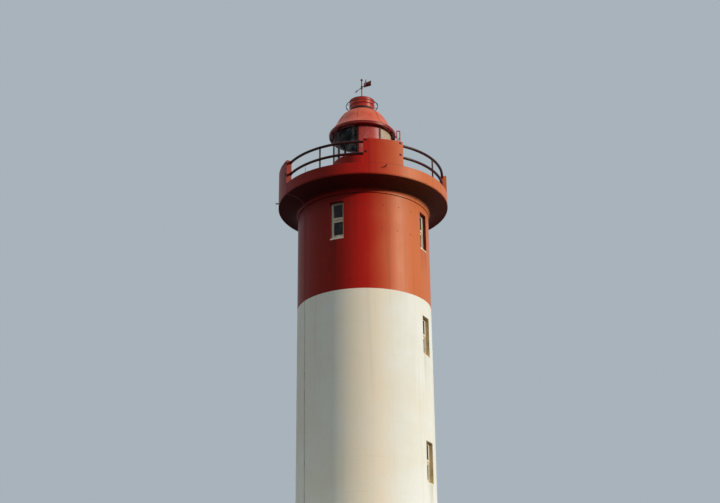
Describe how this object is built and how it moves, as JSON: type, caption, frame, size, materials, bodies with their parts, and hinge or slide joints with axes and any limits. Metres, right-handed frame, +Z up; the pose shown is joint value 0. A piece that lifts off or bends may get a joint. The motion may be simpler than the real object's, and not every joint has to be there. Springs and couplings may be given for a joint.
{
  "type": "lighthouse tower",
  "caption": "Round concrete lighthouse with hollow floors, sash windows, a railed gallery on a cove, a glazed lantern with a bell roof, and a free-turning wind vane.",
  "frame": {"origin": "centre of the tower's round foot, on the ground", "axes": "+Z up along the tower's axis; -Y is the side that the picture shows most of; +X is its right side"},
  "size_m": [6.65, 6.5608, 21],
  "materials": {
    "white_wall": "white masonry paint on cast concrete",
    "red_wall": "red masonry paint on cast concrete",
    "bare_concrete": "bare cast concrete, trowelled",
    "red_metal": "red gloss paint on steel",
    "vane_metal": "red gloss paint on sheet steel",
    "galvanised": "weathered zinc coating",
    "grey_pipe": "weathered grey pipe",
    "cream_paint": "cream gloss paint on joinery",
    "door_paint": "red gloss paint on a panelled leaf",
    "window_glass": "clear sheet glass",
    "lantern_glass": "clear bent glass"
  },
  "bodies": {
    "tower": {"ground_wall_front": "white_wall", "ground_wall_right": "white_wall", "ground_wall_back": "white_wall", "lower_wall_front": "white_wall", "lower_wall_right": "white_wall", "lower_wall_back": "white_wall", "upper_wall_front": "white_wall", "upper_wall_right": "white_wall", "upper_wall_back": "white_wall", "red_wall_front": "red_wall", "red_wall_right": "red_wall", "red_wall_back": "red_wall", "gallery_cove": "red_wall", "gallery_slab": "red_wall", "gallery_kerb": "red_wall", "parapet_panels": "red_wall", "lantern_base": "red_wall", "ground_slab": "bare_concrete", "first_floor": "bare_concrete", "second_floor": "bare_concrete", "third_floor": "bare_concrete", "window_frames": "cream_paint", "window_panes": "window_glass", "entrance_frame": "cream_paint", "entrance_door": "door_paint", "drain_pipes": "grey_pipe", "aerial_rod": "galvanised", "railing_right": "red_metal", "railing_back": "red_metal", "railing_left": "red_metal", "gallery_door": "red_metal", "lantern_sill": "red_metal", "glazing_bars": "red_metal", "lantern_glass": "lantern_glass", "blanking_sheet": "red_metal", "eave_ring": "red_metal", "lantern_roof": "red_metal", "ventilator_drum": "red_metal", "ventilator_lid": "red_metal", "ventilator_hoop": "red_metal", "spindle": "red_metal", "lantern_ladder": "red_metal"},
    "vane": {"vane_hub": "vane_metal", "vane_arrow": "vane_metal", "vane_tail": "vane_metal"}
  },
  "joints": [
    {"name": "vane_spin", "type": "hinge", "parent": "tower", "child": "vane", "pos_m": [0, 0, 20.61], "axis": [0, 0, 1], "continuous": true}
  ]
}
